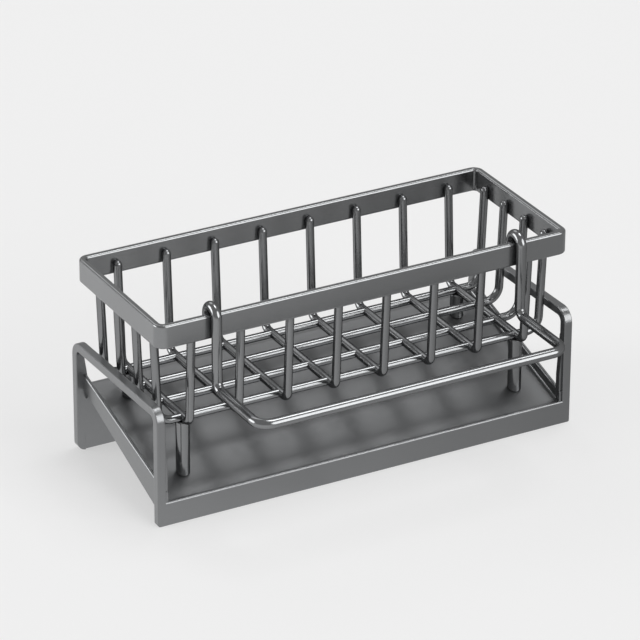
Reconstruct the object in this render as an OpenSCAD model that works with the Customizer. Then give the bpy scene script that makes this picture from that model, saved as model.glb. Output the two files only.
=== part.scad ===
// Sink organizer: a welded wire basket on four legs, standing in a sloped drip tray,
// with a hanging rail hooked over the front of its rim. X runs along the length, the front
// faces -Y and Z is up. The origin lies on the ground under the middle of the whole outline.

/* [Rim band] */
// Length of the rim, outside
rim_w = 230; // [180:1:320]
// Depth of the rim, outside
rim_d = 90; // [76:1:140]
// Height of the rim's top edge above the ground
rim_top = 107; // [92:1:150]
// Height of the flat band
rim_h = 12.5; // [8:0.5:18]
// Thickness of the flat band
rim_t = 3.6; // [2.4:0.1:5]
// Outer radius of the rim's four corners
rim_r = 5.5; // [5.2:0.1:12]
// Rounding along the edges of the band
rim_edge_r = 0.6; // [0.2:0.1:1]

/* [Basket wires] */
// Diameter of the basket wires
wire_d = 4; // [3:0.1:4.6]
// Number of wires that cross from front to back
cross_count = 8; // [4:1:9]
// Number of wires that run the length
long_count = 4; // [2:1:5]
// From the rim's end to the middle of the last cross wire
cross_end_gap = 20.5; // [16:0.5:26]
// From the rim's front to the middle of the first long wire
long_end_gap = 15.7; // [14:0.1:20]
// Height of the long wires' middle line in the basket floor
long_floor = 46.9; // [44.5:0.1:58]
// How deep two crossing wires melt into each other
weld_bite = 2.3; // [0.6:0.1:2.6]
// How deep a wire tip melts into the rim band
rim_bite = 0.35; // [0.2:0.05:0.6]
// How far the wire tips stay below the rim's top edge
tip_drop = 5; // [3.5:0.1:6]
// Lean of the cross wires' arms from upright, in degrees
cross_lean = 3.1; // [0.5:0.1:4]
// Lean of the long wires' arms from upright, in degrees
long_lean = 2.2; // [0.5:0.1:4]
// Middle-line radius of the cross wires' bends
cross_bend = 3.8; // [3:0.1:6]
// Middle-line radius of the long wires' bends
long_bend = 7.6; // [5:0.1:10]

/* [Legs] */
// Diameter of the legs
leg_d = 7; // [5:0.1:9]
// Rounding round the top of a leg
leg_edge_r = 0.8; // [0.3:0.1:1.2]
// How deep a leg's top melts into the long wire on it
leg_bite = 0.5; // [0.2:0.1:0.8]
// Gap between the foot of a leg and the tray floor
foot_gap = 0.3; // [0.1:0.05:0.5]

/* [Hanging rail] */
// Diameter of the rail
rail_d = 5.2; // [4:0.1:6]
// From the rim's end to the middle of a hook
hook_inset = 30; // [28:0.5:34]
// Gap between a hook and each side of the band
hook_gap = 0.4; // [0.3:0.05:1]
// How far the hook arc's middle lies below the rim's top edge
hook_drop = 1.2; // [0.8:0.1:1.2]
// Length of the hook's short leg behind the band
hook_tail = 9; // [5:0.5:14]
// From the rim's front to the middle of the front bar
rail_reach = 47; // [24:0.5:60]
// From the rim's top edge down to the middle of the front bar
rail_fall = 38.5; // [26:0.5:42]
// Middle-line radius of the bend under each hook
rail_foot_r = 5; // [3.5:0.1:9]
// Middle-line radius of the two front corners
rail_corner_r = 7.5; // [4:0.1:12]

/* [Drip tray] */
// How far the tray stands out in front of and behind the rim
tray_over = 2; // [1:0.1:5]
// How far the tray stands out beside each end of the rim
side_over = 2.2; // [1:0.1:5]
// Height of the front skirt
skirt_h = 12.5; // [10:0.5:16]
// Thickness of the front skirt and of the rear wall
skirt_t = 3.8; // [3:0.1:4.2]
// Rounding along the skirt's top edges
skirt_edge_r = 0.9; // [0.3:0.1:1.4]
// Height of the floor's upper face at the front
floor_low = 11.8; // [10.5:0.1:12.2]
// Height of the floor's upper face at the back
floor_high = 37.4; // [30:0.5:38]
// Thickness of the floor
floor_t = 2.4; // [1.6:0.1:3]
// Rounding where the floor turns down into the rear wall
floor_rear_r = 3.8; // [2:0.1:4.4]
// From the tray's outer side to the side wall's inner face
wall_inset = 6; // [5.2:0.1:7]
// Thickness of the side walls
wall_t = 2; // [1.4:0.1:2.8]
// Height of the side walls above the floor
wall_rise = 6; // [3:0.5:10]
// Height of the side walls' lower edge at the front
wall_low_front = 3; // [1:0.5:8]
// Height of the side walls' lower edge at the back
wall_low_rear = 34; // [24:0.5:34.5]
// Fillet between the floor and the side walls
floor_fillet_r = 1.2; // [0.4:0.1:2.5]
// Fillet between the side walls and the arch posts
post_fillet_r = 3; // [1:0.1:3.8]

/* [Side arches] */
// Height of the arches at the front
arch_h = 63; // [56:0.5:80]
// How far the arches' top falls towards the back
arch_fall = 1.8; // [0:0.1:4]
// Width of the arch strip, seen from the front
arch_w = 4.6; // [4:0.1:5]
// Thickness of the arch strip, seen from the side
arch_t = 4.6; // [4.2:0.1:6]
// Outer radius of the arch's upper corners
arch_r = 7.6; // [7.2:0.1:14]
// Rounding along the edges of the arch strip
arch_edge_r = 0.6; // [0.4:0.1:1.8]
// Rounding of the rear feet, seen from the front
rear_foot_r = 4.5; // [1:0.1:6]
// Rounding of the front feet, seen from the front
front_foot_r = 1.2; // [0.5:0.1:3]
// Height above the floor over which a post's inner gusset stays wide
gusset_wide = 14; // [8:0.5:18]
// Height over which the gusset narrows away
gusset_taper = 22; // [6:0.5:24]
// Height above the floor at which the rear gusset ends
gusset_rear = 16; // [10:0.5:20]

/* [Hidden] */
$fn = 64;
gunmetal_wire = [0.37, 0.38, 0.39];
gunmetal_tray = [0.42, 0.43, 0.44];
gunmetal_rail = [0.45, 0.46, 0.47];

tray_w = rim_w + 2 * side_over;
tray_d = rim_d + 2 * tray_over;
tray_side = tray_w / 2;
tray_front = -tray_d / 2;
tray_back = tray_d / 2;
rail_out = rim_d / 2 + rail_reach + rail_d / 2;
mid_y = (rail_out - tray_d / 2) / 2;

cross_floor = long_floor + wire_d - weld_bite;
cross_pitch = (rim_w - 2 * cross_end_gap) / (cross_count - 1);
long_pitch = (rim_d - 2 * long_end_gap) / (long_count - 1);
tip_z = rim_top - tip_drop - wire_d / 2;
tip_inset = rim_t + wire_d / 2 - rim_bite;

leg_x = rim_w / 2 - cross_end_gap;
leg_y = rim_d / 2 - long_end_gap;
leg_top = long_floor - wire_d / 2 + leg_bite;

hook_x = rim_w / 2 - hook_inset;
hook_r = rim_t / 2 + hook_gap + rail_d / 2;
hook_y = -(rim_d - rim_t) / 2;
hook_z = rim_top - hook_drop;
rail_y = -(rim_d / 2 + rail_reach);
rail_z = rim_top - rail_fall;

floor_slope = atan((floor_high - floor_low) / tray_d);
wall_in = tray_side - wall_inset;
wall_out = wall_in + wall_t;
post_in = tray_side - arch_w;
post_y = tray_back - arch_t;
overlap = 1;
sleeve = 0.2;
bend_thinning = 0.04;
fillet_root = 0.4;
foot_cut = 30;
fillet_ease = 1.02;

// Height of the tray floor's upper face at a depth y from the tray's middle
function floor_z(y) = floor_low + (floor_high - floor_low) * (y + tray_d / 2) / tray_d;

// Height of the side walls' lower edge at a depth y
function wall_low(y) =
    wall_low_front + (wall_low_rear - wall_low_front) * (y + post_y) / (2 * post_y);

// Everything is drawn about the basket's middle and then moved back by mid_y
module placed() {
    translate([0, mid_y, 0]) children();
}

// Rectangle with round corners, about its middle
module round_rect(w, h, r) {
    square([w - 2 * r, h], center = true);
    square([w, h - 2 * r], center = true);
    for (sx = [-1, 1], sy = [-1, 1])
        translate([sx * (w / 2 - r), sy * (h / 2 - r)]) circle(r);
}

// Hollow fillet of radius r in a corner at the origin, rooted in the two faces that it joins
module corner_fill(r) {
    difference() {
        translate([-fillet_root, -fillet_root]) square(r + fillet_root);
        translate([r, r]) circle(r * fillet_ease);
    }
}

// Extrudes a profile drawn in Y and Z across a width in X, about the middle
module across(w) {
    rotate([90, 0, 90]) linear_extrude(w, center = true) children();
}

// Extrudes an outline drawn in X and Z from depth y0 to depth y1
module facing(y0, y1) {
    translate([0, y1, 0]) rotate([90, 0, 0]) linear_extrude(y1 - y0) children();
}

// Puts a shape on both sides, mirrored in X
module both_sides() {
    children();
    mirror([1, 0, 0]) children();
}

// Round rod bent about Z, from the +X side through the given angle
module rod_bend(r, d, turn) {
    rotate_extrude(angle = turn) translate([r, 0]) circle(d / 2);
}

// Rim band: one profile, swept along four straights and four quarter turns
module rim_profile() {
    translate([-rim_t / 2, 0]) round_rect(rim_t, rim_h, rim_edge_r);
}

module rim_straight(length) {
    rotate([90, 0, 0]) linear_extrude(length, center = true) rim_profile();
}

module rim_band() {
    half_w = rim_w / 2;
    half_d = rim_d / 2;
    color(gunmetal_wire) placed() translate([0, 0, rim_top - rim_h / 2])
        for (turn = [0, 180]) rotate([0, 0, turn]) {
            translate([half_w, 0, 0]) rim_straight(rim_d - 2 * rim_r);
            translate([0, half_d, 0]) rotate([0, 0, 90]) rim_straight(rim_w - 2 * rim_r);
            translate([half_w - rim_r, half_d - rim_r, 0])
                rotate_extrude(angle = 90) translate([rim_r, 0]) rim_profile();
            translate([rim_r - half_w, half_d - rim_r, 0]) rotate([0, 0, 90])
                rotate_extrude(angle = 90) translate([rim_r, 0]) rim_profile();
        }
}

// Straight round rod up +Z with a domed far end, turned in one piece
module domed_rod(length, d) {
    rotate_extrude() {
        square([d / 2, length]);
        intersection() {
            translate([0, length]) circle(d / 2);
            translate([0, length]) square(d / 2);
        }
    }
}

// U wire in X and Z: a floor run, and on each side a bend and a leaning arm with a domed tip.
// The bends are a hair thinner than the straights, whose ends sleeve over them
module u_wire(tip_x, floor_h, bend_r, lean) {
    arm_rise = tip_z - floor_h - bend_r * (1 - sin(lean));
    arm_run = arm_rise / cos(lean);
    bend_x = tip_x - tan(lean) * arm_rise - bend_r * cos(lean);
    translate([0, 0, floor_h]) rotate([0, 90, 0])
        cylinder(h = 2 * (bend_x + sleeve), d = wire_d, center = true);
    both_sides() translate([bend_x, 0, floor_h + bend_r]) rotate([90, 0, 0]) rotate([0, 0, -90]) {
        rod_bend(bend_r, wire_d - bend_thinning, 90 - lean);
        rotate([0, 0, 90 - lean]) translate([bend_r, -sleeve, 0]) rotate([-90, 0, 0])
            domed_rod(arm_run + sleeve, wire_d);
    }
}

// Wire that crosses the basket from front to back, counted from the left
module cross_wire(index) {
    color(gunmetal_wire) placed()
        translate([cross_pitch * (index - (cross_count + 1) / 2), 0, 0]) rotate([0, 0, 90])
        u_wire(rim_d / 2 - tip_inset, cross_floor, cross_bend, cross_lean);
}

// Wire that runs the basket's length, counted from the front
module long_wire(index) {
    color(gunmetal_wire) placed()
        translate([0, long_pitch * (index - (long_count + 1) / 2), 0])
        u_wire(rim_w / 2 - tip_inset, long_floor, long_bend, long_lean);
}

// Leg under an outer crossing: round-edged top, foot cut along the sloped tray floor
module leg(side, depth) {
    foot_y = depth * leg_y;
    color(gunmetal_wire) placed() difference() {
        translate([side * leg_x, foot_y, 0]) {
            cylinder(h = leg_top - leg_edge_r, d = leg_d);
            cylinder(h = leg_top, d = leg_d - 2 * leg_edge_r);
            translate([0, 0, leg_top - leg_edge_r])
                rotate_extrude() translate([leg_d / 2 - leg_edge_r, 0]) circle(leg_edge_r);
        }
        translate([side * leg_x, foot_y, floor_z(foot_y) + foot_gap / cos(floor_slope)])
            rotate([floor_slope, 0, 0]) translate([0, 0, -leg_top / 2])
            cube([foot_cut, foot_cut, leg_top], center = true);
    }
}

// One half of the hanging rail: front bar, corner, arm, bend, hook over the band, tail
module rail_half() {
    leg_out_y = hook_y - hook_r;
    arm_y = leg_out_y - rail_foot_r;
    bar_end = hook_x - rail_corner_r;
    translate([0, rail_y, rail_z]) rotate([0, 90, 0]) cylinder(h = bar_end, d = rail_d);
    translate([bar_end, rail_y + rail_corner_r, rail_z]) rotate([0, 0, -90])
        rod_bend(rail_corner_r, rail_d, 90);
    translate([hook_x, arm_y, rail_z]) rotate([90, 0, 0])
        cylinder(h = arm_y - rail_y - rail_corner_r, d = rail_d);
    translate([hook_x, arm_y, rail_z + rail_foot_r]) rotate([90, 0, 90]) rotate([0, 0, -90])
        rod_bend(rail_foot_r, rail_d, 90);
    translate([hook_x, leg_out_y, rail_z + rail_foot_r])
        cylinder(h = hook_z - rail_z - rail_foot_r, d = rail_d);
    translate([hook_x, hook_y, hook_z]) rotate([90, 0, 90]) rod_bend(hook_r, rail_d, 180);
    translate([hook_x, hook_y + hook_r, hook_z - hook_tail]) cylinder(h = hook_tail, d = rail_d);
    translate([hook_x, hook_y + hook_r, hook_z - hook_tail]) sphere(d = rail_d);
}

module hanging_rail() {
    color(gunmetal_rail) placed() both_sides() rail_half();
}

// Profile of the front skirt in Y and Z, its top edges rounded
module skirt_profile() {
    translate([tray_front, 0]) square([skirt_t, skirt_h - skirt_edge_r]);
    translate([tray_front + skirt_edge_r, 0]) square([skirt_t - 2 * skirt_edge_r, skirt_h]);
    for (y = [tray_front + skirt_edge_r, tray_front + skirt_t - skirt_edge_r])
        translate([y, skirt_h - skirt_edge_r]) circle(skirt_edge_r);
}

// Profile of the sloped floor, which turns down in a round into the rear wall
module floor_profile() {
    turn_y = tray_back - floor_rear_r;
    turn_z = floor_z(turn_y) - floor_rear_r / cos(floor_slope);
    start_y = tray_front + skirt_edge_r;
    inner_y = tray_back - skirt_t;
    down = floor_t / cos(floor_slope);
    polygon([
        [start_y, floor_z(start_y)],
        [turn_y - floor_rear_r * sin(floor_slope), turn_z + floor_rear_r * cos(floor_slope)],
        [turn_y, turn_z], [tray_back, turn_z], [tray_back, 0], [inner_y, 0],
        [inner_y, floor_z(inner_y) - down], [start_y, floor_z(start_y) - down]
    ]);
    translate([turn_y, turn_z]) circle(floor_rear_r);
}

// Profile of a side wall: it follows the floor above and runs down to a steeper lower edge
module wall_profile(top_cut) {
    y0 = tray_front + overlap;
    y1 = tray_back - skirt_t / 2;
    polygon([
        [y0, wall_low(y0)], [y1, wall_low(y1)],
        [y1, floor_z(y1) + wall_rise - top_cut], [y0, floor_z(y0) + wall_rise - top_cut]
    ]);
}

module side_wall() {
    y0 = tray_front + overlap;
    run = (tray_d - overlap - skirt_t / 2) / cos(floor_slope);
    translate([wall_in + wall_t / 2, 0, 0]) {
        across(wall_t) wall_profile(wall_t / 2);
        translate([0, y0, floor_z(y0) + wall_rise - wall_t / 2])
            rotate([floor_slope - 90, 0, 0]) cylinder(h = run, d = wall_t);
    }
}

// Fillet along the inner corner between the floor and a side wall
module floor_fillet() {
    start_y = tray_front + skirt_t;
    run = (tray_d - skirt_t - floor_rear_r - overlap) / cos(floor_slope);
    translate([wall_in, start_y, floor_z(start_y)]) rotate([floor_slope, 0, 0])
        rotate([-90, 0, 0]) linear_extrude(run)
        mirror([1, 0, 0]) mirror([0, 1, 0]) corner_fill(floor_fillet_r);
}

// Upright fillets outside a side wall, where it meets the front and the rear post
module post_fillets() {
    intersection() {
        union() {
            translate([wall_out, -post_y, 0]) linear_extrude(arch_h) corner_fill(post_fillet_r);
            translate([wall_out, post_y, 0]) mirror([0, 1, 0]) linear_extrude(arch_h)
                corner_fill(post_fillet_r);
        }
        translate([wall_out, 0, 0]) across(2 * post_fillet_r + overlap) wall_profile(wall_t / 2);
    }
}

// Arch strip: one profile, swept up both posts, round the corners and along the falling top.
// The corners are a hair thinner than the straights, whose ends sleeve over them
module arch_profile(thinner = 0) {
    round_rect(arch_w - thinner, arch_t - thinner, arch_edge_r - thinner / 2);
}

module arch() {
    mid_r = arch_r - arch_t / 2;
    rise = arch_h - arch_r;
    turn_y = tray_back - arch_r;
    fall = atan(arch_fall / (2 * turn_y));
    translate([tray_side - arch_w / 2, 0, 0]) {
        for (flip = [0, 1]) mirror([0, flip, 0]) {
            corner_z = rise - (1 - flip) * arch_fall;
            translate([0, tray_back - arch_t / 2, 0]) linear_extrude(corner_z + sleeve) arch_profile();
            translate([0, turn_y, corner_z]) rotate([90, 0, 90])
                rotate_extrude(angle = 90 + (2 * flip - 1) * fall)
                translate([mid_r, 0]) rotate([0, 0, 90]) arch_profile(bend_thinning);
        }
        translate([0, mid_r * sin(fall), rise - arch_fall / 2 + mid_r * cos(fall)])
            rotate([90 - fall, 0, 0]) linear_extrude(2 * (turn_y / cos(fall) + sleeve), center = true)
            arch_profile();
    }
}

// Gussets that widen the posts inwards about the floor and narrow away above and below it
module gussets() {
    root_x = tray_side - arch_w / 2;
    front_z = floor_z(-post_y);
    rear_z = floor_z(post_y);
    front_top = front_z + gusset_wide + gusset_taper;
    rear_top = min(rear_z + gusset_rear, arch_h - arch_fall - arch_r - overlap);
    facing(tray_front + skirt_edge_r + overlap / 2, -post_y) polygon([
        [wall_in, skirt_h - overlap], [wall_in, front_z + gusset_wide],
        [post_in, front_top], [root_x, front_top], [root_x, skirt_h - overlap]
    ]);
    facing(post_y, tray_back - overlap) polygon([
        [wall_out, rear_foot_r], [wall_in, rear_z - wall_rise], [wall_in, rear_z + wall_rise],
        [post_in, rear_top], [root_x, rear_top], [root_x, rear_foot_r]
    ]);
}

// Rounds the outer foot of a side, seen from the front, between depths y0 and y1
module foot_round(r, y0, y1) {
    facing(y0, y1) translate([tray_side, 0]) mirror([1, 0])
        difference() {
            translate([-overlap, -overlap]) square(r + overlap);
            translate([r, r]) circle(r);
        }
}

module drip_tray() {
    color(gunmetal_tray) placed() difference() {
        union() {
            across(tray_w - 2 * arch_edge_r) skirt_profile();
            across(2 * wall_in + wall_t) floor_profile();
            facing(tray_back - skirt_t, tray_back) translate([0, floor_z(0) / 2])
                square([tray_w - 2 * arch_edge_r, floor_z(0)], center = true);
            both_sides() {
                side_wall();
                floor_fillet();
                post_fillets();
                arch();
                gussets();
            }
        }
        both_sides() {
            foot_round(front_foot_r, tray_front - overlap, 0);
            foot_round(rear_foot_r, 0, tray_back + overlap);
        }
    }
}

drip_tray();
rim_band();
hanging_rail();
cross_wire(1);  // cross_wire_1
cross_wire(2);  // cross_wire_2
cross_wire(3);  // cross_wire_3
cross_wire(4);  // cross_wire_4
cross_wire(5);  // cross_wire_5
cross_wire(6);  // cross_wire_6
cross_wire(7);  // cross_wire_7
cross_wire(8);  // cross_wire_8
long_wire(1);  // long_wire_1
long_wire(2);  // long_wire_2
long_wire(3);  // long_wire_3
long_wire(4);  // long_wire_4
leg(-1, -1);  // leg_front_left
leg(1, -1);  // leg_front_right
leg(-1, 1);  // leg_rear_left
leg(1, 1);  // leg_rear_right
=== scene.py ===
# %% [markdown]
# # Sink organizer
# A welded wire basket stands on four legs in a sloped drip tray, and a hanging rail hooks over
# the front of its rim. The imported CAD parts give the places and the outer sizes, in metres. This
# notebook dresses them: each step first says what the piece is on the real object, how it could
# be made, and why this way was chosen.

# %% Load the frame
import math

import bmesh
import bpy
import numpy as np
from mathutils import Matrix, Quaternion, Vector


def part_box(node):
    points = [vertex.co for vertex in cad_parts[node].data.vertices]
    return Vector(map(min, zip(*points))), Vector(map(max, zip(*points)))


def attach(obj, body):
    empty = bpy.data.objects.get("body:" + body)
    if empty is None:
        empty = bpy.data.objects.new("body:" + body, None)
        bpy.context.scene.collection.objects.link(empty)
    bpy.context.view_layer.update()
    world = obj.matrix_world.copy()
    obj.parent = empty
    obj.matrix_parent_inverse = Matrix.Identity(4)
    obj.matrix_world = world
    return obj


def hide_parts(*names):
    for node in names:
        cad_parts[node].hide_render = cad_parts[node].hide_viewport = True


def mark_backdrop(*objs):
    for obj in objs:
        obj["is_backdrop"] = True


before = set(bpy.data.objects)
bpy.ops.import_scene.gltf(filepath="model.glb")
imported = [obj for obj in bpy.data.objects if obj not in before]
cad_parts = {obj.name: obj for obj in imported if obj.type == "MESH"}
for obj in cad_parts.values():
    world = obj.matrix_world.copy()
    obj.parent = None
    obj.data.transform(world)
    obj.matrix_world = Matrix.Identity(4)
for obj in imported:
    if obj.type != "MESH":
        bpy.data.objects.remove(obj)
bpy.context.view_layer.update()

# %% [markdown]
# ## Camera
# A long lens two metres away keeps the edges of the basket nearly parallel, as a catalogue
# picture does. The camera could be placed by hand, but a direction, a distance and a point to
# look at say more, and the object stays in the middle when one of them changes. Azimuth 0 looks
# along +Y. The roll is the small turn of the camera about its own line of sight. The point to look
# at lies a little behind the basket's middle and about half way up.

# %% Camera
VIEW_AZIMUTH = math.radians(-28.821)
VIEW_ELEVATION = math.radians(26.470)
VIEW_ROLL = math.radians(0.247)
VIEW_DISTANCE = 2.1523
VIEW_LENS = 241.57
SENSOR_WIDTH = 36
AIM_RIGHT, AIM_BACK, AIM_UP = 0.0011, 0.0060, 0.0617
rim_low, rim_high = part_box("rim_band")
middle_y = (rim_low.y + rim_high.y) / 2
AIM = Vector((AIM_RIGHT, middle_y + AIM_BACK, AIM_UP))


def make_camera():
    """Camera at aim + distance * (sin a cos e, -cos a cos e, sin e), looking back at the aim."""
    data = bpy.data.cameras.new("photo_camera")
    data.lens = VIEW_LENS
    data.sensor_width = SENSOR_WIDTH
    camera = bpy.data.objects.new("photo_camera", data)
    bpy.context.scene.collection.objects.link(camera)
    away = Vector((
        math.sin(VIEW_AZIMUTH) * math.cos(VIEW_ELEVATION),
        -math.cos(VIEW_AZIMUTH) * math.cos(VIEW_ELEVATION),
        math.sin(VIEW_ELEVATION),
    ))
    camera.location = AIM + VIEW_DISTANCE * away
    camera.rotation_mode = "QUATERNION"
    roll = Quaternion((0, 0, 1), VIEW_ROLL)
    camera.rotation_quaternion = (-away).to_track_quat("-Z", "Y") @ roll
    bpy.context.scene.camera = camera
    return camera


camera = make_camera()
print("camera at, m:", [round(v, 3) for v in camera.location])

# %% [markdown]
# ## Straight runs and round bends
# Every rod and the rim band are bent from straight stock, so their middle lines are only
# straights and round bends. They could be drawn as Bezier curves, but a curve's handles never
# give a true arc. Here a path is walked: run straight, then turn about an axis, and so on. A
# small frame of directions is carried along, and it turns with the path, so a profile that is
# swept along it never twists.

# %% Walk a path
BEND_STEP = math.radians(5)


def turned(vector, axis, angles):
    """Rodrigues' formula: v cos a + (axis x v) sin a + axis (axis . v)(1 - cos a), for each a."""
    a = angles[:, None]
    return (vector * np.cos(a) + np.cross(axis, vector) * np.sin(a)
            + axis * (axis @ vector) * (1 - np.cos(a)))


def walk(start, forward, side, stretches):
    """Points and frames along a path. Each stretch is (run, radius, turn, axis): a straight of
    length run, then a bend. In a bend the point is centre + turned(start - centre), where the
    centre is start + radius (axis x forward), and the forward and side directions turn by the
    same angle."""
    point, forward, side = (np.asarray(v, float) for v in (start, forward, side))
    points, forwards, sides = [point[None]], [forward[None]], [side[None]]
    for run, radius, turn, axis in stretches:
        point = point + run * forward
        points.append(point[None])
        forwards.append(forward[None])
        sides.append(side[None])
        if turn:
            axis = np.asarray(axis, float)
            angles = np.linspace(0, turn, 1 + math.ceil(turn / BEND_STEP))[1:]
            centre = point + radius * np.cross(axis, forward)
            arc = centre + turned(point - centre, axis, angles)
            forwards.append(turned(forward, axis, angles))
            sides.append(turned(side, axis, angles))
            points.append(arc)
            point, forward, side = arc[-1], forwards[-1][-1], sides[-1][-1]
    return tuple(np.concatenate(v) for v in (points, forwards, sides))


# %% [markdown]
# ## From rings to a mesh
# A swept skin is a grid: ring after ring of points. Neighbours in the grid become four-sided
# faces, the last ring joins the first on a closed path, and on an open path the two end rings
# shrink to one point each, so the skin is closed. The exact direction in which the surface faces
# is known from the same formulas, so it is handed to the mesh, and flat sides stay flat to the
# light while rounded edges roll over smoothly.

# %% Skin a grid of rings
def skin(name, rings, facing, closed):
    """Object from rings of points (rings, points, 3) and their outward directions. On an open
    path, every corner of an end ring is the one point in its middle."""
    count, width = rings.shape[:2]
    index = np.arange(count * width).reshape(count, width)
    if not closed:
        index = index - (width - 1)
        index[0] = 0
        index[-1] = index[-2, -1] + 1
    after = np.roll(index, -1, axis=1)
    if closed:
        next_index, next_after = np.roll(index, -1, axis=0), np.roll(after, -1, axis=0)
        quads = np.stack([index, after, next_after, next_index], axis=-1)
        faces = quads.reshape(-1, 4).tolist()
        points, normals = rings.reshape(-1, 3), facing.reshape(-1, 3)
    else:
        quads = np.stack([index[1:-2], after[1:-2], after[2:-1], index[2:-1]], axis=-1)
        first = np.stack([index[0], after[1], index[1]], axis=-1)
        last = np.stack([index[-2], after[-2], index[-1]], axis=-1)
        faces = quads.reshape(-1, 4).tolist() + first.tolist() + last.tolist()
        points = np.concatenate([rings[0, :1], rings[1:-1].reshape(-1, 3), rings[-1, :1]])
        normals = np.concatenate([facing[0, :1], facing[1:-1].reshape(-1, 3), facing[-1, :1]])
    mesh = bpy.data.meshes.new(name)
    mesh.from_pydata(points.tolist(), [], faces)
    mesh.polygons.foreach_set("use_smooth", np.ones(len(mesh.polygons), bool))
    mesh.normals_split_custom_set_from_vertices(normals.tolist())
    piece = bpy.data.objects.new(name, mesh)
    bpy.context.scene.collection.objects.link(piece)
    return piece


# %% Sweep an outline
DOME_STEPS = 6


def sweep(path, outline, closed=False, dome=0.0):
    """Rings of an outline carried along a path: path point + scale (a side + b up), where (a, b)
    is the outline's point and up is forward x side. A dome ends an open path: at the angle t from
    0 to 90 degrees the ring has scale cos t and lies dome sin t past the end."""
    points, forwards, sides = path
    (a, b), (out_a, out_b) = (v.T[:, None, :, None] for v in outline)
    ups = np.cross(forwards, sides)
    lean = np.zeros(len(points))
    if not closed:
        t = np.linspace(0, math.pi / 2, DOME_STEPS + 1)[1:]
        head, tail = points[:1] - dome * np.sin(t[::-1, None]) * forwards[:1], points[-1:]
        points = np.concatenate([head, points, tail + dome * np.sin(t[:, None]) * forwards[-1:]])
        forwards, sides, ups = (
            np.concatenate([np.repeat(v[:1], DOME_STEPS, 0), v, np.repeat(v[-1:], DOME_STEPS, 0)])
            for v in (forwards, sides, ups))
        lean = np.concatenate([-t[::-1], lean, t])
    scale, tip = np.cos(lean)[:, None, None], np.sin(lean)[:, None, None]
    across = a * sides[:, None] + b * ups[:, None]
    out = out_a * sides[:, None] + out_b * ups[:, None]
    return points[:, None] + scale * across, scale * out + tip * forwards[:, None]


# %% [markdown]
# ## Outlines
# Two outlines serve the whole basket. A rod's is a circle. The rim band's is a rectangle whose
# four corners are arcs: each corner adds a few points at its centre + radius (cos, sin), and
# their outward directions are the same (cos, sin), so the flats between two corners need no
# points of their own.

# %% Outlines
ROD_SIDES = 32
CORNER_STEPS = 6


def circle(radius):
    """Points radius (cos t, sin t) once round, with outward directions (cos t, sin t)."""
    t = np.linspace(0, 2 * math.pi, ROD_SIDES, endpoint=False)
    out = np.stack([np.cos(t), np.sin(t)], axis=-1)
    return radius * out, out


def rounded_rectangle(width, height, radius):
    """Corner k turns from 90 k to 90 (k + 1) degrees about (+-(w/2 - r), +-(h/2 - r))."""
    t = np.linspace(0, math.pi / 2, CORNER_STEPS + 1)
    angles = np.concatenate([t + quarter * math.pi / 2 for quarter in range(4)])
    out = np.stack([np.cos(angles), np.sin(angles)], axis=-1)
    signs = np.repeat(np.array([(1, 1), (-1, 1), (-1, -1), (1, -1)]), CORNER_STEPS + 1, axis=0)
    return signs * (width / 2 - radius, height / 2 - radius) + radius * out, out


# %% [markdown]
# ## The gunmetal coat
# Tray, basket and rail share one look: a dark grey coat with fine metal flakes, satin on the tray,
# a little shinier on the rim band and shinier still on the rods. It could be painted as one flat
# grey, but then every surface would answer the light alike. A noise of about a millimetre lifts
# and lowers the roughness, a much finer one is the grain of the sprayed coat as a slight bump, and
# a broad one lets the grey drift by a few parts in a hundred. Bare metal turns into a mirror where
# it is seen at a glancing angle, and a coat does so less: the edge value keeps the rods' outlines
# dark. A noise seldom leaves its middle range, so for the roughness that range is stretched.

# %% Coat material
GRAIN_SCALE, GRAIN_STRENGTH = 2600, 0.3
MOTTLE_SCALE, MOTTLE = 420, 0.03
DRIFT_SCALE, DRIFT = 18, 0.06
NOISE_LOW, NOISE_HIGH = 0.3, 0.7


def gunmetal(name, grey, roughness, metallic, grain, edge=1.0):
    """Principled metal: roughness +- mottle, grey (1 +- drift), and a bump of height grain. The
    edge value is what is left of the shine where the surface is seen at a glancing angle."""
    material = bpy.data.materials.new(name)
    material.use_nodes = True
    nodes, links = material.node_tree.nodes, material.node_tree.links
    shader = nodes["Principled BSDF"]
    place = nodes.new("ShaderNodeTexCoord")

    def noise(scale, detail):
        node = nodes.new("ShaderNodeTexNoise")
        node.inputs["Scale"].default_value = scale
        node.inputs["Detail"].default_value = detail
        links.new(place.outputs["Object"], node.inputs["Vector"])
        return node

    drift = nodes.new("ShaderNodeMix")
    drift.data_type = "RGBA"
    drift.inputs["A"].default_value = tuple((1 - DRIFT) * v for v in grey) + (1,)
    drift.inputs["B"].default_value = tuple((1 + DRIFT) * v for v in grey) + (1,)
    links.new(noise(DRIFT_SCALE, detail=2).outputs["Fac"], drift.inputs["Factor"])
    links.new(drift.outputs["Result"], shader.inputs["Base Color"])
    mottle = nodes.new("ShaderNodeMapRange")
    mottle.inputs["From Min"].default_value = NOISE_LOW
    mottle.inputs["From Max"].default_value = NOISE_HIGH
    mottle.inputs["To Min"].default_value = roughness - MOTTLE
    mottle.inputs["To Max"].default_value = roughness + MOTTLE
    links.new(noise(MOTTLE_SCALE, detail=3).outputs["Fac"], mottle.inputs["Value"])
    links.new(mottle.outputs["Result"], shader.inputs["Roughness"])
    bump = nodes.new("ShaderNodeBump")
    bump.inputs["Strength"].default_value = GRAIN_STRENGTH
    bump.inputs["Distance"].default_value = grain
    links.new(noise(GRAIN_SCALE, detail=2).outputs["Fac"], bump.inputs["Height"])
    links.new(bump.outputs["Normal"], shader.inputs["Normal"])
    shader.inputs["Metallic"].default_value = metallic
    shader.inputs["Specular Tint"].default_value = (edge, edge, edge, 1)
    print(name, "coat of", len(nodes), "nodes")
    return material


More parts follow.
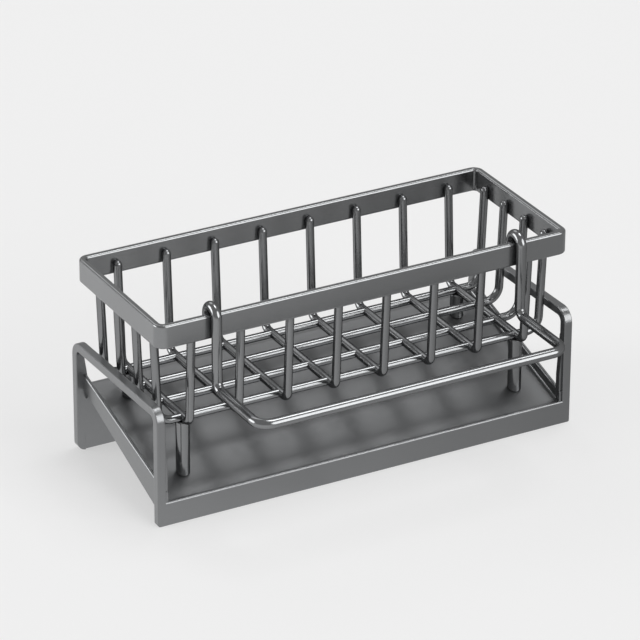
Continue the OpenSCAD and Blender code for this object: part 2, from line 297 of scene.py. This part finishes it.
# %% Four coats
tray_coat = gunmetal("tray_satin_gunmetal", (0.209, 0.213, 0.217), 0.31, 0.93, 1.2e-6)
band_coat = gunmetal("band_satin_gunmetal", (0.232, 0.236, 0.240), 0.24, 0.95, 1e-6)
wire_coat = gunmetal("wire_bright_gunmetal", (0.216, 0.220, 0.224), 0.17, 0.95, 1e-6, 0.25)
rail_coat = gunmetal("rail_bright_gunmetal", (0.222, 0.226, 0.230), 0.16, 0.95, 1e-6, 0.35)


# %% Finish a piece
def finish_piece(piece, coat, slot, body, *nodes):
    """Gives a new piece its coat and its body, and lets it stand for its nodes. Prints its faces
    and its size. The slot argument is not used."""
    piece.data.materials.clear()
    piece.data.materials.append(coat)
    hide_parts(*nodes)
    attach(piece, body)
    low, high = Vector(piece.bound_box[0]), Vector(piece.bound_box[6])
    size = [round(1000 * v, 1) for v in high - low]
    print(piece.name, len(piece.data.polygons), "faces,", size, "mm")


# %% [markdown]
# ## Rim band
# The rim is a flat steel band, welded into a ring with four rounded corners. A solidified strip
# would leave its edges sharp. The real band has rolled edges, which show as two bright lines
# along the top, so the whole cross-section is swept round the closed path.

# %% Rim band
RIM_THICKNESS = 0.0036
RIM_CORNER = 0.0055
RIM_EDGE = 0.0012
RIGHT, BACK, UP = (1, 0, 0), (0, 1, 0), (0, 0, 1)
LEFT, FRONT = (-1, 0, 0), (0, -1, 0)


def rim_band():
    """Closed walk round the band's middle line, from the middle of the front, with the outline's
    first axis pointing outwards and its second one up."""
    half_x = rim_high.x - RIM_THICKNESS / 2
    half_y = (rim_high.y - rim_low.y) / 2 - RIM_THICKNESS / 2
    radius = RIM_CORNER - RIM_THICKNESS / 2
    quarter = (radius, math.pi / 2, UP)
    stretches = [(half_x - radius, *quarter), (2 * (half_y - radius), *quarter),
                 (2 * (half_x - radius), *quarter), (2 * (half_y - radius), *quarter)]
    start = (0, middle_y - half_y, (rim_low.z + rim_high.z) / 2)
    path = walk(start, RIGHT, FRONT, stretches)
    outline = rounded_rectangle(RIM_THICKNESS, rim_high.z - rim_low.z, RIM_EDGE)
    return skin("rim_band_steel", *sweep(path, outline, closed=True), closed=True)


finish_piece(rim_band(), band_coat, "basket_steel", "basket", "rim_band")

# %% [markdown]
# ## Basket wires
# Twelve wires are bent into a U and welded where they cross: eight from front to back and four
# along the length. Their arms lean outwards a little and end in a dome below the rim's top edge.
# One function makes them all, because a U in X and one in Y differ only in the direction that is
# called across. Each box of the frame gives its wire's place, its reach and its height. The coat
# adds a little to the bare wire. Resistance welding presses the hot wires into each other until
# they lie almost in one plane, so the long ones' floor runs lie a little higher and the cross
# ones' lower than in the solids, and each crossing shows as a mitre.

# %% Basket wires
WIRE_RADIUS = 0.002
COAT_THICKNESS = 0.00018
CROSS_LEAN, CROSS_BEND, CROSS_RAISE = math.radians(3.1), 0.0038, -0.0012
LONG_LEAN, LONG_BEND, LONG_RAISE = math.radians(2.2), 0.0076, 0.0003


def u_wire(node, across, lean, bend, floor_raise):
    """U wire between its node's ends. The arm's length is its rise over cos(lean), where the rise
    leaves out the part that the bend climbs, bend (1 - sin(lean)). The bend turns by 90 degrees
    less the lean, and the floor run is what the two bends leave of the span. It lies floor_raise
    higher than the node's."""
    low, high = (np.array(corner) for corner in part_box(node))
    across, up = np.array(across, float), np.array(UP, float)
    reach = (high - low) @ across / 2 - WIRE_RADIUS
    floor = low[2] + WIRE_RADIUS + floor_raise
    tip = high[2] - WIRE_RADIUS
    rise = tip - floor - bend * (1 - math.sin(lean))
    arm = rise / math.cos(lean)
    half_floor = reach - math.tan(lean) * rise - bend * math.cos(lean)
    middle = (low + high) / 2
    start = middle - reach * across + (tip - middle[2]) * up
    heading = math.sin(lean) * across - math.cos(lean) * up
    axis = np.cross(across, up)
    corner = (bend, math.pi / 2 - lean, axis)
    stretches = [(arm, *corner), (2 * half_floor, *corner), (arm, 0, 0, axis)]
    path = walk(start, heading, axis, stretches)
    radius = WIRE_RADIUS + COAT_THICKNESS
    return skin(node + "_rod", *sweep(path, circle(radius), dome=radius), closed=False)


def nodes_named(start):
    """The frame's nodes whose names begin so, in order."""
    return sorted(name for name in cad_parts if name.startswith(start))


for node in nodes_named("cross_wire"):
    wire = u_wire(node, BACK, CROSS_LEAN, CROSS_BEND, CROSS_RAISE)
    finish_piece(wire, wire_coat, "basket_steel", "basket", node)
for node in nodes_named("long_wire"):
    wire = u_wire(node, RIGHT, LONG_LEAN, LONG_BEND, LONG_RAISE)
    finish_piece(wire, wire_coat, "basket_steel", "basket", node)

# %% [markdown]
# ## Legs
# A leg is a short thick rod under an outer crossing. Its top edge is rounded over, and its foot
# is cut along the sloped tray floor, so all four stand flat. It is a surface of revolution whose
# lowest rings are sheared: their height grows with y at the slope of the tray floor.

# %% Legs
LEG_RADIUS = 0.0035
LEG_TOP_EDGE = 0.0008
LEG_FOOT_EDGE = 0.0003
END_SHARE = 0.98
tray_low, tray_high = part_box("drip_tray")
TRAY_FLOOR_FRONT, TRAY_FLOOR_BACK = 0.0118, 0.0374
tray_slope = (TRAY_FLOOR_BACK - TRAY_FLOOR_FRONT) / (tray_high.y - tray_low.y)
print("tray floor rises", round(math.degrees(math.atan(tray_slope)), 1), "degrees")


def leg(node):
    """Rings of radius r at height h + shear tray_slope (y - middle): the top edge is a quarter
    circle, the sides are straight and the foot has a smaller quarter circle, sheared. The flat
    ends have one more ring just inside their edge, which keeps them flat to the light."""
    low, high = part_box(node)
    centre = (low + high) / 2
    foot = low.z + tray_slope * LEG_RADIUS
    t = np.linspace(0, math.pi / 2, CORNER_STEPS)
    foot_r = LEG_RADIUS - LEG_FOOT_EDGE * (1 - np.sin(t))
    foot_h = foot + LEG_FOOT_EDGE * (1 - np.cos(t))
    top_r = LEG_RADIUS - LEG_TOP_EDGE * (1 - np.cos(t))
    top_h = high.z - LEG_TOP_EDGE * (1 - np.sin(t))
    foot_end, top_end = foot_r[0] * END_SHARE, top_r[-1] * END_SHARE
    radius = np.concatenate([[0, foot_end], foot_r, top_r, [top_end, 0]])
    height = np.concatenate([[foot, foot], foot_h, top_h, [high.z, high.z]])
    tilt = np.concatenate([[0, 0], np.sin(t), np.cos(t), [0, 0]])
    rise = np.concatenate([[-1, -1], -np.cos(t), np.sin(t), [1, 1]])
    shear = np.concatenate([np.ones(2 + CORNER_STEPS), np.zeros(2 + CORNER_STEPS)])
    _, out = circle(1)
    x = centre.x + radius[:, None] * out[:, 0]
    y = radius[:, None] * out[:, 1]
    z = height[:, None] + shear[:, None] * tray_slope * y
    rings = np.stack([x, centre.y + y, z], axis=-1)
    facing = np.stack([tilt[:, None] * out[:, 0], tilt[:, None] * out[:, 1],
                       np.broadcast_to(rise[:, None], x.shape)], axis=-1)
    facing[..., 1] -= shear[:, None] * tray_slope * facing[..., 2]
    facing /= np.linalg.norm(facing, axis=-1, keepdims=True)
    return skin(node + "_rod", rings, facing, closed=False)


for node in nodes_named("leg_"):
    finish_piece(leg(node), wire_coat, "basket_steel", "basket", node)

# %% [markdown]
# ## Hanging rail
# The rail is one rod with eight bends in three planes: a hook over the band, down, forward,
# round a corner, along the front, and the same back. Joined cylinders would crack at the bends.
# The walk turns about a fixed axis in each bend, so the rod stays round all the way.

# %% Hanging rail
RAIL_RADIUS = 0.0026
HOOK_GAP = 0.0004
HOOK_TAIL = 0.009
FOOT_BEND = 0.005
FRONT_BEND = 0.0075


def hanging_rail():
    """The frame's box gives the bar (its front and its bottom), the hooks (its sides) and the top
    of the hooks' arcs. The arc's radius is half the band + the gap + half the rod."""
    low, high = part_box("hanging_rail")
    hook_x = high.x - RAIL_RADIUS
    bar_y, bar_z = low.y + RAIL_RADIUS, low.z + RAIL_RADIUS
    hook = RIM_THICKNESS / 2 + HOOK_GAP + RAIL_RADIUS
    hook_y = rim_low.y + RIM_THICKNESS / 2
    hook_z = high.z - RAIL_RADIUS - hook
    drop = hook_z - bar_z - FOOT_BEND
    arm = hook_y - hook - FOOT_BEND - bar_y - FRONT_BEND
    half_turn, quarter = math.pi, math.pi / 2
    stretches = [
        (HOOK_TAIL, hook, half_turn, RIGHT), (drop, FOOT_BEND, quarter, LEFT),
        (arm, FRONT_BEND, quarter, UP), (2 * (hook_x - FRONT_BEND), FRONT_BEND, quarter, UP),
        (arm, FOOT_BEND, quarter, RIGHT), (drop, hook, half_turn, LEFT), (HOOK_TAIL, 0, 0, UP),
    ]
    start = (-hook_x, hook_y + hook, hook_z - HOOK_TAIL)
    rings = sweep(walk(start, UP, RIGHT, stretches), circle(RAIL_RADIUS), dome=RAIL_RADIUS)
    return skin("hanging_rail_rod", *rings, closed=False)


finish_piece(hanging_rail(), rail_coat, "rail_steel", "rail", "hanging_rail")

# %% [markdown]
# ## Drip tray
# The tray is one moulding: sloped floor, skirt, rear wall, side walls and arches run into each
# other. Its CAD solid already has that shape, so it isn't rebuilt. A copy is merged, its flat
# stretches become single faces again, and a bevel breaks the edges that the solid leaves sharp,
# as any moulded edge is. Weighted normals keep the flats flat to the light. The solid rounds the
# inner corner between side wall and rear post over a short height only, which would catch the
# light as a separate patch, so that fillet is drawn into the corner.

# %% Drip tray
MERGE_DISTANCE = 2e-6
FLAT_ANGLE = math.radians(0.4)
EDGE_BREAK = 0.0003
EDGE_STEPS = 3
EDGE_ANGLE = math.radians(34)
WALL_INSET = 0.0040
POST_DEPTH = 0.0046
CORNER_FILLET = 0.0025


def square_rear_corners(work):
    """Draws the small upright fillet between each side wall and its rear post together into the
    plain corner where the two faces meet, at the inset of the wall and the depth of the post.
    The points of its lower end go to one height and those of its upper end to another."""
    for side in (-1, 1):
        corner = Vector((side * (tray_high.x - WALL_INSET), tray_high.y - POST_DEPTH, 0))
        near = [v for v in work.verts
                if 0 <= side * (v.co.x - corner.x) + MERGE_DISTANCE < CORNER_FILLET
                and 0 <= corner.y - v.co.y + MERGE_DISTANCE < CORNER_FILLET
                and abs(v.co.z - TRAY_FLOOR_BACK) < 2 * CORNER_FILLET]
        middle = sum(v.co.z for v in near) / len(near)
        for group in ([v for v in near if v.co.z < middle], [v for v in near if v.co.z > middle]):
            corner.z = max(v.co.z for v in group)
            for v in group:
                v.co = corner
        print("rear corner", side, len(near), "points drawn together")


# %% Tray piece
def tray_shell():
    """Merged copy of the tray's CAD mesh, with the sharp edges broken by a three-step bevel."""
    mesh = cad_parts["drip_tray"].data.copy()
    mesh.name = "tray_moulding"
    work = bmesh.new()
    work.from_mesh(mesh)
    bmesh.ops.remove_doubles(work, verts=work.verts, dist=MERGE_DISTANCE)
    square_rear_corners(work)
    bmesh.ops.remove_doubles(work, verts=work.verts, dist=MERGE_DISTANCE)
    bmesh.ops.dissolve_limit(work, angle_limit=FLAT_ANGLE, verts=work.verts, edges=work.edges)
    work.to_mesh(mesh)
    work.free()
    if "custom_normal" in mesh.attributes:
        mesh.attributes.remove(mesh.attributes["custom_normal"])
    mesh.polygons.foreach_set("use_smooth", np.ones(len(mesh.polygons), bool))
    mesh.set_sharp_from_angle(angle=EDGE_ANGLE)
    piece = bpy.data.objects.new("tray_moulding", mesh)
    bpy.context.scene.collection.objects.link(piece)
    bevel = piece.modifiers.new("edge_break", "BEVEL")
    bevel.width = EDGE_BREAK
    bevel.segments = EDGE_STEPS
    bevel.limit_method = "ANGLE"
    bevel.angle_limit = EDGE_ANGLE
    weigh = piece.modifiers.new("flat_faces", "WEIGHTED_NORMAL")
    weigh.keep_sharp = True
    return piece


finish_piece(tray_shell(), tray_coat, "tray_shell", "tray", "drip_tray")

# %% [markdown]
# ## Floor
# The object stands on a pale studio floor, which is the whole background. More light would make
# it pale too, but then the metal would lose its tone, so the floor's own colour does it: part of
# it is shown as it is to the camera, and the rest is lit, so the shadow stays soft and light.
# Reflections see the floor brighter on the left than on the right. This is a painted reflection:
# a glow of the floor's colour that only glossy rays see, standing in for a window on the left.

# %% Floor material
PALE = 0.863
FLOOR_LIT = 0.78
FLOOR_SHOWN = 0.6
# painted reflection: the floor's glow as glossy rays see it, brighter on the left than on the
# right
PAINTED_SHEEN_LEFT, PAINTED_SHEEN_RIGHT = 1.0, 0.5
PAINTED_SHEEN_REACH = 0.2


def plain(value):
    """Neutral grey as a colour socket takes it."""
    return (value, value, value, 1)


def floor_material():
    """Diffuse, mixed with its own colour as light. The share of light is shown * camera ray +
    glossy ray + transmission ray, and glossy rays see a painted reflection in place of the
    colour: a smooth step in X from the left painted sheen to the right one."""
    material = bpy.data.materials.new("studio_floor")
    material.use_nodes = True
    nodes, links = material.node_tree.nodes, material.node_tree.links
    nodes.clear()
    output = nodes.new("ShaderNodeOutputMaterial")
    mix = nodes.new("ShaderNodeMixShader")
    lit, shown = nodes.new("ShaderNodeBsdfDiffuse"), nodes.new("ShaderNodeEmission")
    lit.inputs["Color"].default_value = plain(FLOOR_LIT)
    place, apart = nodes.new("ShaderNodeTexCoord"), nodes.new("ShaderNodeSeparateXYZ")
    # painted reflection: glossy rays see a smooth step in X in place of the floor's colour
    painted_sheen_ramp, tone = nodes.new("ShaderNodeMapRange"), nodes.new("ShaderNodeMix")
    painted_sheen_ramp.interpolation_type = "SMOOTHSTEP"
    painted_sheen_ramp.inputs["From Min"].default_value = -PAINTED_SHEEN_REACH
    painted_sheen_ramp.inputs["From Max"].default_value = PAINTED_SHEEN_REACH
    painted_sheen_ramp.inputs["To Min"].default_value = PAINTED_SHEEN_LEFT
    painted_sheen_ramp.inputs["To Max"].default_value = PAINTED_SHEEN_RIGHT
    tone.inputs["A"].default_value = PALE
    links.new(place.outputs["Object"], apart.inputs[0])
    links.new(apart.outputs["X"], painted_sheen_ramp.inputs["Value"])
    links.new(painted_sheen_ramp.outputs["Result"], tone.inputs["B"])
    links.new(tone.outputs["Result"], shown.inputs["Color"])
    rays = nodes.new("ShaderNodeLightPath")
    links.new(rays.outputs["Is Glossy Ray"], tone.inputs["Factor"])
    parts = (("Is Camera Ray", FLOOR_SHOWN), ("Is Glossy Ray", 1), ("Is Transmission Ray", 1))
    share = None
    for ray, part in parts:
        added = nodes.new("ShaderNodeMath")
        added.operation = "MULTIPLY_ADD"
        added.inputs[1].default_value = part
        added.inputs[2].default_value = 0
        links.new(rays.outputs[ray], added.inputs[0])
        if share:
            links.new(share.outputs[0], added.inputs[2])
        share = added
    links.new(share.outputs[0], mix.inputs["Fac"])
    links.new(lit.outputs[0], mix.inputs[1])
    links.new(shown.outputs[0], mix.inputs[2])
    links.new(mix.outputs[0], output.inputs["Surface"])
    print("floor material of", len(nodes), "nodes")
    return material


# %% Floor plane
FLOOR_SIZE = 30.0


def pale_floor():
    """One square on the ground, far wider than the picture, as the stage."""
    half = FLOOR_SIZE / 2
    corners = [(-half, -half, 0), (half, -half, 0), (half, half, 0), (-half, half, 0)]
    mesh = bpy.data.meshes.new("studio_floor")
    mesh.from_pydata(corners, [], [(0, 1, 2, 3)])
    floor = bpy.data.objects.new("studio_floor", mesh)
    bpy.context.scene.collection.objects.link(floor)
    mesh.materials.append(floor_material())
    print("floor", FLOOR_SIZE, "m wide")
    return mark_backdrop(floor)


pale_floor()

# %% [markdown]
# ## Light
# Four soft round sources light the studio: the big key at the front right, a small one high on
# the right, a weak one behind, and a big one close to the floor on the left, a little behind. Area
# lamps near the object could do the same, but a far round source is equally wide from every point
# of it. The big ones show as streaks along the round rods. The one high on the right shines
# through the basket and shows on the tray floor as soft blots. The world fills the rest.

# %% Light
WORLD_STRENGTH = 0.5
LAMP_AWAY = 2


def soft_sun(name, azimuth, elevation, width, strength):
    """Round soft source far away: seen from the object it lies at this azimuth and elevation and
    has this width, all in degrees. Azimuth 0 is straight in front, 90 on the right."""
    data = bpy.data.lights.new(name, "SUN")
    data.energy = strength
    data.angle = math.radians(width)
    lamp = bpy.data.objects.new(name, data)
    a, e = math.radians(azimuth), math.radians(elevation)
    towards = Vector((math.sin(a) * math.cos(e), -math.cos(a) * math.cos(e), math.sin(e)))
    lamp.rotation_mode = "QUATERNION"
    lamp.rotation_quaternion = towards.to_track_quat("Z", "Y")
    lamp.location = LAMP_AWAY * towards
    bpy.context.scene.collection.objects.link(lamp)
    print(name, "at", azimuth, elevation, "degrees,", width, "degrees wide")


soft_sun("key_front_right", azimuth=27, elevation=25, width=46, strength=1.75)
soft_sun("top_right", azimuth=103, elevation=72, width=25, strength=0.95)
soft_sun("back_high", azimuth=176, elevation=42, width=30, strength=0.28)
soft_sun("left_low", azimuth=-118, elevation=9, width=44, strength=1.9)

world = bpy.data.worlds.new("studio")
bpy.context.scene.world = world
world.use_nodes = True
backdrop = world.node_tree.nodes["Background"]
backdrop.inputs["Color"].default_value = plain(PALE)
backdrop.inputs["Strength"].default_value = WORLD_STRENGTH
bpy.context.scene.view_settings.view_transform = "Standard"
